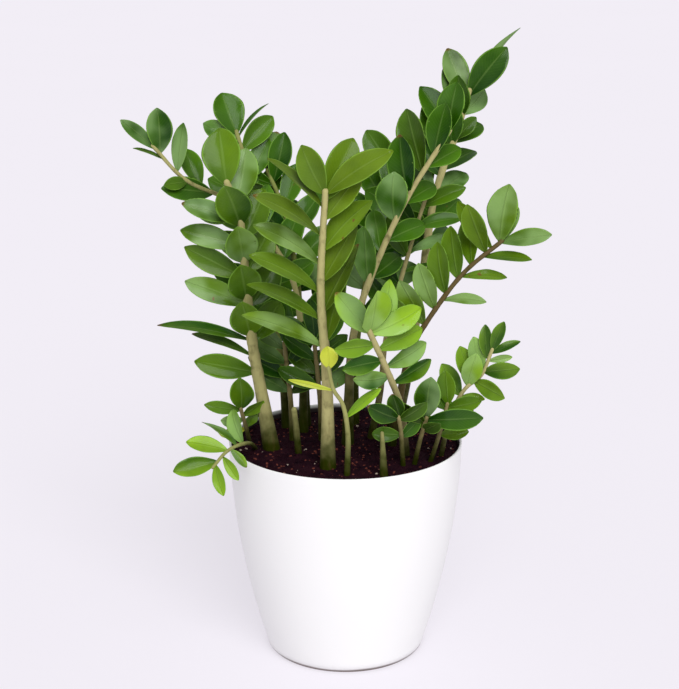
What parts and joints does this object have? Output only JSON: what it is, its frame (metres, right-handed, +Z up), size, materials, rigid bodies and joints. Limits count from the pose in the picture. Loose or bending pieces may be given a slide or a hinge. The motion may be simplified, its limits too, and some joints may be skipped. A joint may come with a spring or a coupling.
{
  "type": "potted zz plant",
  "caption": "Houseplant with upright arching fronds of glossy oval leaflets on swollen stalks, growing from potting soil in a plain tapered white plastic pot.",
  "frame": {"origin": "centre of the pot's flat underside, on the surface it stands on", "axes": "+Z up along the pot's axis; -Y towards the plant's front"},
  "size_m": [0.4443, 0.2717, 0.6705],
  "materials": {
    "pot_white": "satin",
    "potting_soil": "matte",
    "leaf_deep": "satin",
    "leaf_mid": "satin",
    "leaf_young": "satin",
    "stalk": "satin"
  },
  "bodies": {
    "root": {"pot": "pot_white", "soil": "potting_soil", "frond_tan": "leaf_deep", "frond_right_back": "leaf_deep", "frond_far_left": "leaf_deep", "frond_left_back": "leaf_deep", "frond_middle_back": "leaf_deep", "frond_centre_back": "leaf_deep", "frond_right_thin": "leaf_deep", "frond_low_left": "leaf_deep", "frond_low_middle": "leaf_deep", "frond_low_right_front": "leaf_deep", "frond_low_right": "leaf_deep", "frond_front": "leaf_mid", "frond_left": "leaf_mid", "frond_right": "leaf_mid", "frond_left_small": "leaf_mid", "frond_low_far_right": "leaf_mid", "frond_centre_young": "leaf_young", "frond_right_young": "leaf_young", "frond_hanging": "leaf_young", "frond_front_thin": "leaf_young", "shoot_bud": "stalk", "shoot_stub": "stalk"}
  },
  "joints": []
}
